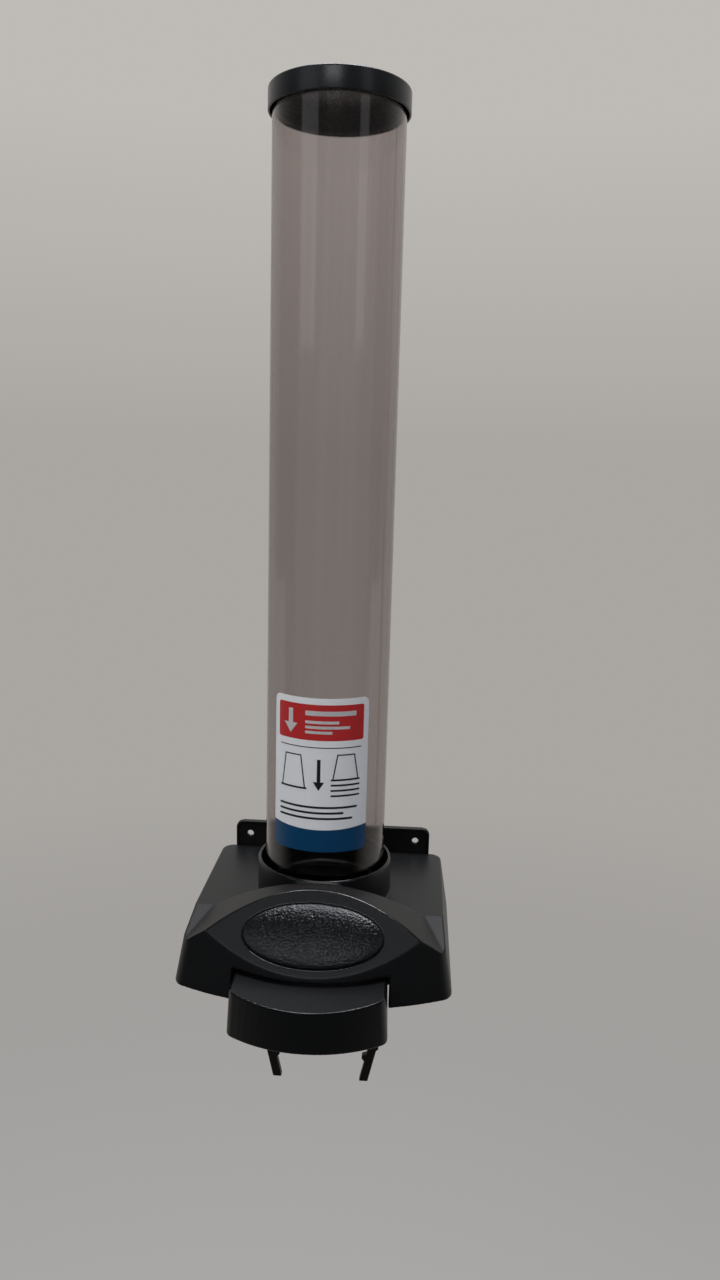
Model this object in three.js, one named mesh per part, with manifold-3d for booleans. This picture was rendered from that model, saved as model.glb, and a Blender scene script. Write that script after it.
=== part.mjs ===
// Wall-mounted dispenser for a stack of disposable cups, mouth down.
// Frame: +Z up, +Y into the wall, +X to the right as seen from the room. The origin lies on the
// back of the wall plate, midway between its two screw holes. All lengths are in millimetres.
import * as THREE from "three";
import { mergeVertices } from "three/addons/utils/BufferGeometryUtils.js";
import Module from "manifold-3d";

const wasm = await Module();
wasm.setup();

// Driving dimensions
const cupMouth = 73; // mouth diameter of the largest cup
const cupClearance = 1; // between the mouth and the tube, all round
const tubeWall = 1.5;
const tubeLength = 485.5;
const axisToWall = 63; // from the tube's axis to the wall
const screwsToRim = 13.5; // height of the collar's rim over the line of the wall screws
const touchGap = 0.3; // left between pieces that touch
const overrun = 2; // how far a cutting shape runs past what it cuts
const weld = 0.0001; // points closer than this are one point

// Cap on top of the tube
const capOverhang = 2.4; // over the tube, all round
const capHeight = 12.5;
const capTop = 2;
const capSkirt = 1.5;
const capEdge = 1.5;
const plugWall = 1.5;
const plugDepth = 10;

// Cover
const coverWall = 2.4;
const coverHalfWidth = 79; // at deck level
const coverReach = 91.5; // from the tube's axis to the foot of the front wall
const skirtHeight = 35.5;
const frontBow = 190; // plan radius of the front wall
const frontCorner = 10;
const backCorner = 8;
const collarHeight = 22.5;
const collarClearance = 2.6;
const collarWall = 2.4;
const collarEdge = 0.8;
const foldSetBack = 8; // from the collar's front to where the deck starts to fall
const crestSetBack = 38.5; // crest of the brow, from the foot of the front wall
const crestDrop = 1; // crest of the brow under the collar's rim
const browOverhang = 7; // how far the arch of the brow would run past the deck's side
const browFall = 36.5; // how far the arch of the brow falls at its half span
const sideDraftShare = 0.165;
const frontLeanShare = 0.25;
const deckFallShare = 0.287;
const browBackShare = 0.33;
const eyeSlopeShare = 1.164;
const lipThickness = 1.7;
const slotRise = 4;
const slotClearance = 1.2;
const bossRadius = 3.5;
const frontBossSide = 13; // from the deck's side
const frontBossShare = 0.48; // from the throat's wall to the foot of the front wall
const backBossSide = 1;
const backBossInset = 15; // from the wall

// Oval inlay in the sloping face
const badgeLengthShare = 0.534; // of the deck's half width
const badgeWidthShare = 0.368; // of the face's length
const badgeDownShare = 0.533; // middle of the oval, from the crest along the face
const badgePocket = 0.9;
const badgeRim = 0.9;
const badgeCrown = 1.1;

// Wall frame
const wallPlate = 3;
const earSetBack = 8.5; // from the deck's side to the side of an ear
const plateSetBack = 4; // the same for the plate behind the cover
const earTopDrop = 3.9; // top of the ears under the collar's rim
const earCorner = 5;
const earRib = 1;
const earRibHeight = 1.4;
const wallHoleInset = 10.2; // from the side of an ear
const wallHoleRadius = 2.4;
const floorThickness = 2.5;
const throatClearance = 2; // bore in the floor, over the cup's mouth, all round
const hubGap = 7; // from the throat's wall to a claw's pivot
const hubRadius = 5;
const footHeight = 3;
const railHeight = 2.5;
const railWall = 2;
const gussetX = 25;
const gussetDepth = 14;
const gussetHeight = 22;
const gussetWall = 2.2;

// Pusher
const pusherHalfWidth = 45.5;
const pusherStandOut = 23; // in front of the foot of the cover's front wall
const pusherBow = 82;
const pusherCorner = 7;
const pusherWall = 2.2;
const pusherTopDrop = 46; // its top under the collar's rim
const pusherHeight = 26;
const pusherDish = 3; // how far its top rises towards the flanks
const pusherEdge = 1.2;
const pusherFlare = 1.6; // how far its flanks spread out towards the bottom
const stroke = 8;
const footHalfWidth = 34;
const footInset = 0.8; // from the back of the yoke's bar
const footRibShare = 0.9; // where a rib stands, of the foot's half width
const edgeShare = 0.3; // where the top edge starts to turn over
const flankFootShare = 3; // where a flank's lower corners lie, in corner radii
const flankTopShare = 3.5;

// Release yoke
const yokeThickness = 2.5;
const yokeSetBack = 3; // from the deck's side
const yokeInnerShare = 0.48; // of the room from the throat's wall to the deck's side
const driveShare = 0.765; // the drive pin, in the same room
const shoulderShare = 0.7; // the shoulder screw, in the same room
const barBackShare = 0.21; // of the room from the throat's wall to the front wall's foot
const barFrontShare = 0.37;
const yokeEnd = 30;
const yokeCorner = 18;
const tabThickness = 2.5;
const tabHeight = 12;
const tabWidth = 10;
const drivePin = 2;
const driveClearance = 0.4;
const shoulderY = -34;
const shoulderRadius = 2.2;

// Claws
const tongueInner = 33;
const tongueOuter = 41;
const tongueStart = 22; // degrees from the side, towards the front
const tongueEnd = 48;
const tongueThickness = 2;
const armHalfWidth = 4;
const driveHalfWidth = 3.5;
const lowerTongueRise = 5; // over the floor
const cupPitch = 8.5; // step between the rims of nested cups
const hubHeight = 14.7;
const pinRadius = 2;
const pinClearance = 0.3;
const clipThickness = 0.8;
const clipRadius = 4.5;

// Return springs
const springRise = 6.5; // axis over the floor
const springCoil = 4.05; // mean radius
const springWire = 0.9;
const springTurns = 9;
const postRadius = 2.6;
const postLength = 6;

// Cup guide
const guideClearance = 1; // over the cup's mouth, all round
const guideWall = 2.5;
const guideFlange = 12.5; // width of the flange round the throat
const guideLength = 84.2;
const guideFront = 2; // its front edges, in front of the tube's axis
const guideBackRise = 30;
const guideSideShare = 0.45; // how high the rise starts beside the tube's axis
const guideNotch = 12;
const legLength = 24.2; // below the chute
const legWidth = 6;
const legDepth = 5;
const legPull = 6.9; // how far a leg leans in over its length
const nibDrop = 5; // from the foot of the chute down to the nib
const nibDepth = 4;
const nibHeight = 4.5;
const guideScrewInset = 5; // from the flange's edge

// Screws and label
const screwRadius = 1.2;
const screwClearance = 0.3;
const screwHead = 3;
const screwHeadHeight = 2;
const coverScrewLength = 12;
const guideScrewLength = 6.5;
const labelWidth = 63;
const labelHeight = 98.5;
const labelRise = 17.5; // over the collar's rim
const labelFilm = 0.3;
const labelCorner = 4;
const labelTurn = -2; // degrees round the tube from the front

// Levels and radii that follow from the sizes above
const rimZ = screwsToRim;
const deckZ = rimZ - collarHeight;
const skirtZ = deckZ - skirtHeight;
const floorZ = skirtZ + floorThickness;
const crestZ = rimZ - crestDrop;
const pusherZ = rimZ - pusherTopDrop;
const mouthRadius = cupMouth / 2;
const tubeBore = mouthRadius + cupClearance;
const tubeRadius = tubeBore + tubeWall;
const collarBore = tubeRadius + collarClearance;
const collarRadius = collarBore + collarWall;
const throatRadius = mouthRadius + throatClearance;
const sideRoom = coverHalfWidth - throatRadius;
const frontRoom = coverReach - throatRadius;
const crestReach = coverReach - crestSetBack;
const foldReach = collarRadius - foldSetBack;
const browHalfSpan = coverHalfWidth + browOverhang;
const earHalfWidth = coverHalfWidth - earSetBack;
const plateHalfWidth = coverHalfWidth - plateSetBack;
const wallHoleX = earHalfWidth - wallHoleInset;
const hubX = throatRadius + hubGap;
const yokeHalfWidth = coverHalfWidth - yokeSetBack;
const yokeInner = throatRadius + yokeInnerShare * sideRoom;
const yokeBarBack = throatRadius + barBackShare * frontRoom;
const yokeFront = throatRadius + barFrontShare * frontRoom;
const driveX = throatRadius + driveShare * sideRoom;
const driveArm = driveX - hubX;
const shoulderX = throatRadius + shoulderShare * sideRoom;
const springX = yokeInner + tabWidth / 2;
const pusherReach = coverReach + pusherStandOut;
const pusherBack = yokeFront + stroke;
const footBack = yokeBarBack + footInset;
const slotHalfWidth = pusherHalfWidth + slotClearance;
const flangeRadius = throatRadius + guideFlange;
const guideScrewRing = flangeRadius - guideScrewInset;
const wallPlateFront = axisToWall - wallPlate;
const tubeBottom = deckZ + touchGap;
const tubeTop = tubeBottom + tubeLength;
const yokeZ = floorZ + touchGap;
const yokeTop = yokeZ + yokeThickness;
const footZ = yokeTop + touchGap;
const clawTurn = stroke / driveArm; // radians at full stroke
const springZ = floorZ + springRise;
const springStart = yokeEnd + touchGap;
const springEnd = wallPlateFront - touchGap;
const faceFoot = coverReach - frontLeanShare * (crestZ - skirtZ); // front wall at the crest's level
const faceRun = (faceFoot - crestReach) / (1 - frontLeanShare * eyeSlopeShare);
const faceLength = faceRun * Math.hypot(1, eyeSlopeShare);
const badgeHalfLength = badgeLengthShare * coverHalfWidth;
const badgeHalfWidth = badgeWidthShare * faceLength;
const badgeDown = badgeDownShare * faceLength;

// Number of facets round a circle for large tubes, bosses and small screws, and of steps along
// half an arc of an outline
const roundFacets = 72;
const bossFacets = 24;
const screwFacets = 12;
const arcSteps = 5;
const archSteps = 24;

// Materials
const finishes = {
  black: new THREE.MeshStandardMaterial({ color: 0x17191c, roughness: 0.45, metalness: 0 }),
  deepBlack: new THREE.MeshStandardMaterial({ color: 0x101113, roughness: 0.6, metalness: 0 }),
  smoke: new THREE.MeshStandardMaterial({
    color: 0x8a7f78,
    roughness: 0.08,
    metalness: 0,
    transparent: true,
    opacity: 0.45,
  }),
  film: new THREE.MeshStandardMaterial({ color: 0xe9ebee, roughness: 0.35, metalness: 0 }),
  acetal: new THREE.MeshStandardMaterial({ color: 0x1b1c1d, roughness: 0.42, metalness: 0 }),
  steel: new THREE.MeshStandardMaterial({ color: 0xb9bcc0, roughness: 0.3, metalness: 1 }),
};

// A closed geometry as a solid that can be joined and cut
function solid(geometry) {
  const bare = geometry.index ? geometry.toNonIndexed() : geometry.clone();
  for (const name of Object.keys(bare.attributes)) {
    if (name !== "position") bare.deleteAttribute(name);
  }
  const merged = mergeVertices(bare, weld);
  return new wasm.Manifold(
    new wasm.Mesh({
      numProp: 3,
      vertProperties: merged.attributes.position.array,
      triVerts: new Uint32Array(merged.index.array),
    }),
  );
}

// A solid as a named mesh
function mesh(name, body, finish) {
  const made = body.getMesh();
  const geometry = new THREE.BufferGeometry();
  geometry.setAttribute("position", new THREE.BufferAttribute(made.vertProperties, 3));
  geometry.setIndex(new THREE.BufferAttribute(made.triVerts, 1));
  geometry.computeVertexNormals();
  const result = new THREE.Mesh(geometry, finish);
  result.name = name;
  return result;
}

// Joins a list of solids
function join(bodies) {
  return bodies.reduce((sum, body) => sum.add(body));
}

// An outline drawn in X and Y, extruded from z0 to z1
function slabXY(shape, z0, z1, steps = arcSteps) {
  const geometry = new THREE.ExtrudeGeometry(shape, {
    depth: z1 - z0,
    bevelEnabled: false,
    curveSegments: steps,
  });
  return solid(geometry.translate(0, 0, z0));
}

// An outline drawn in X and Z, extruded from y0 to y1
function slabXZ(shape, y0, y1, steps = arcSteps) {
  const geometry = new THREE.ExtrudeGeometry(shape, {
    depth: y1 - y0,
    bevelEnabled: false,
    curveSegments: steps,
  });
  return solid(geometry.rotateX(Math.PI / 2).translate(0, y1, 0));
}

// An outline drawn in Y and Z, extruded from x0 to x1
function slabYZ(shape, x0, x1, steps = arcSteps) {
  const geometry = new THREE.ExtrudeGeometry(shape, {
    depth: x1 - x0,
    bevelEnabled: false,
    curveSegments: steps,
  });
  const turn = new THREE.Matrix4().makeBasis(
    new THREE.Vector3(0, 1, 0),
    new THREE.Vector3(0, 0, 1),
    new THREE.Vector3(1, 0, 0),
  );
  return solid(geometry.applyMatrix4(turn).translate(x0, 0, 0));
}

// A closed outline through points given as [u, v]
function outline(points) {
  return new THREE.Shape(points.map(([u, v]) => new THREE.Vector2(u, v)));
}

function block(x0, x1, y0, y1, z0, z1) {
  const geometry = new THREE.BoxGeometry(x1 - x0, y1 - y0, z1 - z0);
  return solid(geometry.translate((x0 + x1) / 2, (y0 + y1) / 2, (z0 + z1) / 2));
}

// Round bars along Z and along Y
function barZ(radius, x, y, z0, z1, facets = bossFacets) {
  const geometry = new THREE.CylinderGeometry(radius, radius, z1 - z0, facets);
  return solid(geometry.rotateX(Math.PI / 2).translate(x, y, (z0 + z1) / 2));
}

function barY(radius, x, z, y0, y1, facets = bossFacets) {
  const geometry = new THREE.CylinderGeometry(radius, radius, y1 - y0, facets);
  return solid(geometry.translate(x, (y0 + y1) / 2, z));
}

// A profile of [radius, z] pairs turned about the Z axis
function turned(profile, facets = roundFacets) {
  const points = profile.map(([r, z]) => new THREE.Vector2(r, z));
  if (THREE.ShapeUtils.isClockWise(points)) points.reverse();
  points.push(points[0].clone());
  return solid(new THREE.LatheGeometry(points, facets).rotateX(Math.PI / 2));
}

// A closed skin over rings with equal numbers of points, each ring counter-clockwise seen from
// the last ring. The ends are closed by triangles found on the flattened first ring.
function skin(rings, flatten) {
  const count = rings[0].length;
  const corners = THREE.ShapeUtils.triangulateShape(rings[0].map(flatten), []);
  const points = [];
  const push = (...list) => list.forEach((p) => points.push(p.x, p.y, p.z));
  for (let k = 0; k + 1 < rings.length; k += 1) {
    for (let i = 0; i < count; i += 1) {
      const j = (i + 1) % count;
      push(rings[k][i], rings[k][j], rings[k + 1][j]);
      push(rings[k][i], rings[k + 1][j], rings[k + 1][i]);
    }
  }
  const last = rings[rings.length - 1];
  for (const [a, b, c] of corners) {
    push(rings[0][a], rings[0][c], rings[0][b]);
    push(last[a], last[b], last[c]);
  }
  const geometry = new THREE.BufferGeometry();
  geometry.setAttribute("position", new THREE.Float32BufferAttribute(points, 3));
  return solid(geometry);
}

const fromAbove = (p) => new THREE.Vector2(p.x, p.y);

// Plan outline with a bowed front, straight sides and rounded corners, counter-clockwise.
// reach is the distance from the tube's axis to the middle of the front.
function bowedPlan({ halfWidth, reach, bow, corner, back, backRound }, z) {
  const bowY = bow - reach;
  const cornerX = halfWidth - corner;
  const cornerY = bowY - Math.sqrt((bow - corner) ** 2 - cornerX ** 2);
  const meet = Math.atan2(cornerY - bowY, cornerX);
  const half = [];
  const arc = (x, y, r, from, to, steps) => {
    for (let i = 0; i <= steps; i += 1) {
      const a = from + ((to - from) * i) / steps;
      half.push(new THREE.Vector3(x + r * Math.cos(a), y + r * Math.sin(a), z));
    }
  };
  arc(0, bowY, bow, -Math.PI / 2, meet, 10);
  half.pop();
  arc(cornerX, cornerY, corner, meet, 0, 7);
  arc(halfWidth - backRound, back - backRound, backRound, 0, Math.PI / 2, 4);
  const mirrored = half
    .slice(1)
    .reverse()
    .map((p) => new THREE.Vector3(-p.x, p.y, p.z));
  return [...half, ...mirrored];
}

// The cover's drafted outer form, or with an inset the room inside it
function coverEnvelope(inset, z0, z1, back) {
  const rings = [z0, (z0 + z1) / 2, z1].map((z) =>
    bowedPlan(
      {
        halfWidth: coverHalfWidth + sideDraftShare * (deckZ - z) - inset,
        reach: coverReach - frontLeanShare * (z - skirtZ) - inset,
        bow: frontBow - inset,
        corner: frontCorner - inset,
        back,
        backRound: backCorner - inset,
      },
      z,
    ),
  );
  return skin(rings, fromAbove);
}

// Everything under the deck and the arched brow, cut by the sloping face. The same function gives
// the outside and, lowered by the wall, the room inside.
function coverRoof(inset) {
  const far = axisToWall + coverReach;
  const low = skirtZ - far;
  const deck = slabYZ(
    outline([
      [-far, low],
      [far, low],
      [far, deckZ - inset],
      [-foldReach, deckZ - inset],
      [-far, deckZ - inset - deckFallShare * (far - foldReach)],
    ]),
    -far,
    far,
  );
  const arch = new THREE.Shape();
  const top = crestZ - inset;
  arch.moveTo(-browHalfSpan, low);
  arch.lineTo(browHalfSpan, low);
  arch.lineTo(browHalfSpan, top - browFall);
  arch.quadraticCurveTo(0, top + browFall, -browHalfSpan, top - browFall);
  const backY = -foldReach - inset;
  const brow = slabXZ(arch, -far, axisToWall, archSteps).intersect(
    slabYZ(
      outline([
        [-far, low],
        [backY + browBackShare * (deckZ - low), low],
        [backY - browBackShare * (far - deckZ), far],
        [-far, far],
      ]),
      -far,
      far,
    ),
  );
  const slant = Math.hypot(1, eyeSlopeShare);
  const faceY = -crestReach + (inset * eyeSlopeShare) / slant;
  const faceZ = crestZ - inset / slant;
  const front = slabYZ(
    outline([
      [faceY - far, faceZ - far * eyeSlopeShare],
      [faceY + far, faceZ + far * eyeSlopeShare],
      [faceY - far, faceZ + far * eyeSlopeShare],
    ]),
    -far,
    far,
  );
  return deck.add(brow).subtract(front);
}

// Places a solid drawn flat, with its face up, on the sloping face at a distance from the crest
function onFace(body, down) {
  const slope = Math.atan(eyeSlopeShare);
  const made = body.getMesh();
  const geometry = new THREE.BufferGeometry();
  geometry.setAttribute("position", new THREE.BufferAttribute(made.vertProperties, 3));
  geometry.setIndex(new THREE.BufferAttribute(made.triVerts, 1));
  geometry.rotateX(slope);
  geometry.translate(
    0,
    -crestReach - down * Math.cos(slope),
    crestZ - down * Math.sin(slope),
  );
  return solid(geometry);
}

// An oval disc between two levels, with its edge drawn in by a chamfer
function ovalDisc(halfLength, halfWidth, z0, z1) {
  const shape = new THREE.Shape();
  shape.absellipse(0, 0, halfLength, halfWidth, 0, Math.PI * 2);
  return slabXY(shape, z0, z1, roundFacets / 2);
}

const frontBossX = coverHalfWidth - frontBossSide;
const frontBossY = -throatRadius - frontBossShare * frontRoom;
const backBossX = coverHalfWidth - backBossSide;
const backBossY = axisToWall - backBossInset;
const bossPlaces = [
  [frontBossX, frontBossY],
  [-frontBossX, frontBossY],
  [backBossX, backBossY],
  [-backBossX, backBossY],
];

// Cover: drafted shell with deck, collar, brow, sloping face and the pusher's slot
function topCover() {
  const outerBack = wallPlateFront - touchGap;
  const roof = coverRoof(0);
  const outer = coverEnvelope(0, skirtZ, rimZ, outerBack).intersect(roof);
  const collar = turned([
    [collarRadius, deckZ - coverWall],
    [collarRadius, rimZ - collarEdge],
    [collarRadius - collarEdge, rimZ],
    [collarBore + collarEdge, rimZ],
    [collarBore, rimZ - collarEdge],
    [collarBore, deckZ - coverWall],
  ]);
  const collarCore = barZ(collarRadius, 0, 0, deckZ - coverWall, rimZ + overrun, roundFacets);
  const room = coverEnvelope(coverWall, skirtZ - overrun, rimZ, wallPlateFront + overrun)
    .intersect(coverRoof(coverWall))
    .subtract(collarCore);
  const bosses = join(
    bossPlaces.map(([x, y]) => barZ(bossRadius, x, y, floorZ + touchGap, rimZ)),
  ).intersect(outer);
  const pilots = join(
    bossPlaces.map(([x, y]) =>
      barZ(screwRadius + screwClearance, x, y, skirtZ, skirtZ + coverScrewLength + touchGap,
        screwFacets),
    ),
  );
  const cheeks = join(
    [-1, 1].map((side) => {
      const x = side > 0 ? slotHalfWidth : -slotHalfWidth - coverWall;
      return block(x, x + coverWall, -coverReach, -yokeFront - overrun - touchGap, skirtZ, rimZ);
    }),
  ).intersect(outer);
  const lipZ = pusherZ + touchGap + lipThickness;
  const slot = new THREE.Shape();
  slot.moveTo(-slotHalfWidth, skirtZ - overrun);
  slot.lineTo(slotHalfWidth, skirtZ - overrun);
  slot.lineTo(slotHalfWidth, lipZ + slotRise);
  slot.quadraticCurveTo(0, lipZ - slotRise, -slotHalfWidth, lipZ + slotRise);
  const bore = barZ(collarBore, 0, 0, deckZ, rimZ + overrun, roundFacets);
  const throat = barZ(throatRadius - throatClearance + touchGap, 0, 0, deckZ - coverWall - overrun,
    rimZ, roundFacets);
  const pocket = onFace(
    ovalDisc(badgeHalfLength + touchGap, badgeHalfWidth + touchGap, -badgePocket, overrun),
    badgeDown,
  );
  return outer
    .subtract(room)
    .add(bosses)
    .add(cheeks)
    .subtract(slabXZ(slot, -coverReach - overrun, -pusherBack - coverWall, archSteps))
    .subtract(bore)
    .add(collar)
    .subtract(throat)
    .subtract(pilots)
    .subtract(pocket);
}

// Oval inlay: a flat rim with a shallow crown
function ovalBadge() {
  const seat = -badgePocket + touchGap;
  const steps = 5;
  const rings = [];
  const ring = (share, z) => {
    const points = [];
    for (let i = 0; i < roundFacets; i += 1) {
      const a = (i / roundFacets) * Math.PI * 2;
      points.push(
        new THREE.Vector3(
          (badgeHalfLength - badgeHalfWidth * (1 - share)) * Math.cos(a),
          badgeHalfWidth * share * Math.sin(a),
          z,
        ),
      );
    }
    return points;
  };
  rings.push(ring(1, seat));
  for (let i = 0; i < steps; i += 1) {
    const rise = Math.sin(((i / steps) * Math.PI) / 2);
    rings.push(ring(Math.cos(((i / steps) * Math.PI) / 2) ** 0.5, seat + badgeRim + badgeCrown * rise));
  }
  return onFace(skin(rings, fromAbove), badgeDown);
}

// Wall frame: wall plate with ears, and the floor that carries the release works
function wallFrame() {
  const earZ = rimZ - earTopDrop;
  const plate = new THREE.Shape();
  plate.moveTo(-plateHalfWidth, skirtZ);
  plate.lineTo(plateHalfWidth, skirtZ);
  plate.lineTo(plateHalfWidth, deckZ - coverWall);
  plate.lineTo(earHalfWidth, deckZ - coverWall);
  plate.lineTo(earHalfWidth, earZ - earCorner);
  plate.absarc(earHalfWidth - earCorner, earZ - earCorner, earCorner, 0, Math.PI / 2);
  plate.lineTo(-earHalfWidth + earCorner, earZ);
  plate.absarc(-earHalfWidth + earCorner, earZ - earCorner, earCorner, Math.PI / 2, Math.PI);
  plate.lineTo(-earHalfWidth, deckZ - coverWall);
  plate.lineTo(-plateHalfWidth, deckZ - coverWall);
  for (const side of [-1, 1]) {
    const hole = new THREE.Path();
    hole.absarc(side * wallHoleX, 0, wallHoleRadius, 0, Math.PI * 2);
    plate.holes.push(hole);
  }
  const rib = slabXZ(plate, wallPlateFront - earRib, wallPlateFront + overrun / 2).subtract(
    slabXZ(
      outline([
        [-earHalfWidth + earRibHeight, skirtZ - overrun],
        [earHalfWidth - earRibHeight, skirtZ - overrun],
        [earHalfWidth - earRibHeight, earZ - earCorner],
        [earHalfWidth - earCorner, earZ - earRibHeight],
        [-earHalfWidth + earCorner, earZ - earRibHeight],
        [-earHalfWidth + earRibHeight, earZ - earCorner],
      ]),
      wallPlateFront - earRib - overrun,
      axisToWall,
    ),
  ).subtract(
    block(-coverHalfWidth, coverHalfWidth, 0, axisToWall + overrun, skirtZ - overrun, deckZ + touchGap),
  );
  const floor = coverEnvelope(coverWall + touchGap, skirtZ, floorZ, wallPlateFront + overrun / 2);
  const notchHalfWidth = slotHalfWidth + coverWall + touchGap;
  const notch = block(
    -notchHalfWidth,
    notchHalfWidth,
    -coverReach - overrun,
    -yokeFront - overrun,
    skirtZ - overrun,
    floorZ + overrun,
  );
  const parts = [slabXZ(plate, wallPlateFront, axisToWall), rib, floor.subtract(notch)];
  for (const side of [-1, 1]) {
    parts.push(barZ(hubRadius, side * hubX, 0, skirtZ, floorZ + footHeight));
    for (const x of [yokeInner - touchGap * 2 - railWall, yokeHalfWidth + touchGap * 2]) {
      const inner = Math.min(side * x, side * (x + railWall));
      const front = yokeCorner - yokeBarBack + stroke + overrun;
      const back = yokeEnd + stroke;
      parts.push(block(inner, inner + railWall, front, back, skirtZ, floorZ + railHeight));
    }
    parts.push(barY(postRadius, side * springX, springZ, wallPlateFront - postLength, axisToWall));
    const gusset = outline([
      [wallPlateFront - gussetDepth, skirtZ],
      [axisToWall, skirtZ],
      [axisToWall, floorZ + gussetHeight],
      [wallPlateFront, floorZ + gussetHeight],
    ]);
    const gx = side * gussetX;
    parts.push(slabYZ(gusset, gx - gussetWall / 2, gx + gussetWall / 2));
  }
  for (const [x, y] of guideScrewPlaces()) {
    parts.push(barZ(bossRadius, x, y, skirtZ, floorZ + footHeight));
  }
  let frame = join(parts).subtract(
    barZ(throatRadius, 0, 0, skirtZ - overrun, floorZ + overrun * 2, roundFacets),
  );
  const hole = screwRadius + screwClearance;
  for (const [x, y] of bossPlaces) {
    frame = frame.subtract(barZ(hole, x, y, skirtZ - overrun, floorZ + overrun, screwFacets));
  }
  for (const [x, y] of guideScrewPlaces()) {
    const top = skirtZ + guideScrewLength - touchGap * 2;
    frame = frame.subtract(barZ(hole, x, y, skirtZ - overrun, top, screwFacets));
  }
  for (const side of [-1, 1]) {
    const pinHole = barZ(pinRadius + pinClearance, side * hubX, 0, skirtZ + touchGap * 3,
      floorZ + footHeight + overrun);
    const shoulderHole = barZ(hole, side * shoulderX, shoulderY, skirtZ - overrun,
      floorZ + overrun, screwFacets);
    frame = frame.subtract(pinHole).subtract(shoulderHole);
  }
  return frame;
}

function guideScrewPlaces() {
  return [90, 210, 330].map((degrees) => {
    const a = THREE.MathUtils.degToRad(degrees);
    return [guideScrewRing * Math.cos(a), guideScrewRing * Math.sin(a)];
  });
}

// Tube: smoked plastic, open at both ends, standing on the cover's ledge
function cupTube() {
  return turned([
    [tubeRadius, tubeBottom],
    [tubeRadius, tubeTop],
    [tubeBore, tubeTop],
    [tubeBore, tubeBottom],
  ]);
}

// Cap: top plate, outer skirt and a plug ring inside the tube
function tubeCap() {
  const radius = tubeRadius + capOverhang;
  const top = tubeTop + touchGap + capTop;
  const under = top - capTop;
  const bottom = top - capHeight;
  const plug = tubeBore - touchGap;
  return turned([
    [0, top],
    [0, under],
    [plug - plugWall, under],
    [plug - plugWall, under - plugDepth],
    [plug, under - plugDepth],
    [plug, under],
    [radius - capSkirt, under],
    [radius - capSkirt, bottom],
    [radius, bottom],
    [radius, top - capEdge],
    [radius - capEdge / 3, top - capEdge / 3],
    [radius - capEdge, top],
  ]);
}

// Label: a film with rounded corners, bent round the front of the tube
function tubeLabel() {
  const inner = tubeRadius + touchGap;
  const outer = inner + labelFilm;
  const bottom = rimZ + labelRise;
  const steps = 8;
  const across = [];
  for (let i = 0; i <= steps; i += 1) {
    const a = ((i / steps) * Math.PI) / 2;
    across.push([labelCorner * (1 - Math.cos(a)), labelCorner * (1 - Math.sin(a))]);
  }
  const middle = 14;
  for (let i = 1; i < middle; i += 1) {
    across.push([labelCorner + ((labelWidth - labelCorner * 2) * i) / middle, 0]);
  }
  for (let i = steps; i >= 0; i -= 1) {
    const [along, up] = across[i];
    across.push([labelWidth - along, up]);
  }
  const rings = across.map(([along, up]) => {
    const low = bottom + Math.min(up, labelCorner - weld * 10);
    const high = bottom + labelHeight - Math.min(up, labelCorner - weld * 10);
    const a = (along - labelWidth / 2) / inner + THREE.MathUtils.degToRad(labelTurn);
    const place = (r, z) => new THREE.Vector3(r * Math.sin(a), -r * Math.cos(a), z);
    return [place(outer, low), place(inner, low), place(inner, high), place(outer, high)];
  });
  return skin(rings, (p) => new THREE.Vector2(Math.hypot(p.x, p.y), -p.z));
}

function pusherPlan(inset, z, back) {
  return bowedPlan(
    {
      halfWidth: pusherHalfWidth + (pusherFlare * (pusherZ - z)) / pusherHeight - inset,
      reach: pusherReach - inset,
      bow: pusherBow - inset,
      corner: pusherCorner - inset,
      back,
      backRound: touchGap,
    },
    z,
  );
}

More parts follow.
